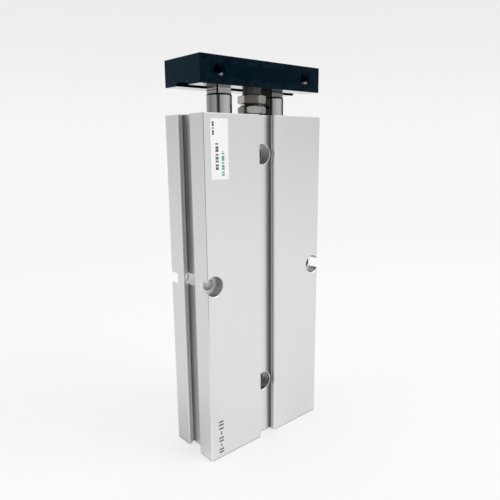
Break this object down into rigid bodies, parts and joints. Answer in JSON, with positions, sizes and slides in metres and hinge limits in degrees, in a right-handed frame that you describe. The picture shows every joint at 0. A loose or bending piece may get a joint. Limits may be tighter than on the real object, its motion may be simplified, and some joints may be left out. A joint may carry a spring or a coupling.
{
  "type": "twin rod guided cylinder",
  "caption": "Flat extruded air cylinder with parallel piston rods in one barrel, tied by a dark end plate with an adjustable stop bolt; the plate slides out without turning.",
  "frame": {"origin": "centre of the barrel's rear end face, on which the part stands", "axes": "+Z along the stroke from the rear face to the end plate, X across the wide faces with the sensor slot at -X, -Y out of the front wide face"},
  "size_m": [0.062, 0.025, 0.158],
  "materials": {
    "anodised_aluminium": "matte clear anodised, faint extrusion lines",
    "black_plate": "black finish with a blue cast",
    "chromed_steel": "ground and hard chromed",
    "plated_steel": "nickel plated",
    "black_steel": "black oxide",
    "turned_aluminium": "turned",
    "sintered_bronze": "oil-filled sintered",
    "black_rubber": "moulded nitrile",
    "urethane": "moulded urethane",
    "ferrite": "pressed",
    "acetal": "machined"
  },
  "bodies": {
    "barrel": {"barrel_body": "anodised_aluminium", "rod_cover_left": "turned_aluminium", "rod_cover_right": "turned_aluminium", "guide_bush_left": "sintered_bronze", "guide_bush_right": "sintered_bronze", "rod_seal_left": "black_rubber", "rod_seal_right": "black_rubber", "cover_oring_left": "black_rubber", "cover_oring_right": "black_rubber", "front_bumper_left": "black_rubber", "front_bumper_right": "black_rubber", "front_ring_left": "black_steel", "front_ring_right": "black_steel", "rear_cover_left": "turned_aluminium", "rear_cover_right": "turned_aluminium", "rear_oring_left": "black_rubber", "rear_oring_right": "black_rubber", "rear_ring_left": "black_steel", "rear_ring_right": "black_steel"},
    "carriage": {"end_plate": "black_plate", "lock_nut": "plated_steel", "stop_collar": "black_steel", "piston_rod_left": "chromed_steel", "piston_rod_right": "chromed_steel", "piston_left": "turned_aluminium", "piston_right": "turned_aluminium", "piston_seal_left": "black_rubber", "piston_seal_right": "black_rubber", "wear_ring_left": "acetal", "wear_ring_right": "acetal", "magnet_left": "ferrite", "magnet_right": "ferrite", "magnet_washer_left": "plated_steel", "magnet_washer_right": "plated_steel", "piston_nut_left": "plated_steel", "piston_nut_right": "plated_steel", "plate_screw_left": "black_steel", "plate_screw_right": "black_steel"},
    "stop_pad": {"bumper_pad": "urethane"},
    "stop_screw": {"stop_bolt": "plated_steel"}
  },
  "joints": [
    {"name": "rod_stroke", "type": "slide", "parent": "barrel", "child": "carriage", "axis": [0, 0, 1], "range_m": [0, 0.08]},
    {"name": "stop_lift", "type": "slide", "parent": "carriage", "child": "stop_pad", "axis": [0, 0, 1], "range_m": [0, 0.0005]},
    {"name": "stop_turn", "type": "hinge", "parent": "stop_pad", "child": "stop_screw", "pos_m": [0, -0.0033, 0.1401], "axis": [0, 0, 1], "range_deg": [0, 180]}
  ],
  "couplings": [
    {"joint": "stop_turn", "follows": "stop_lift", "rad_per_m": 6283.2}
  ]
}
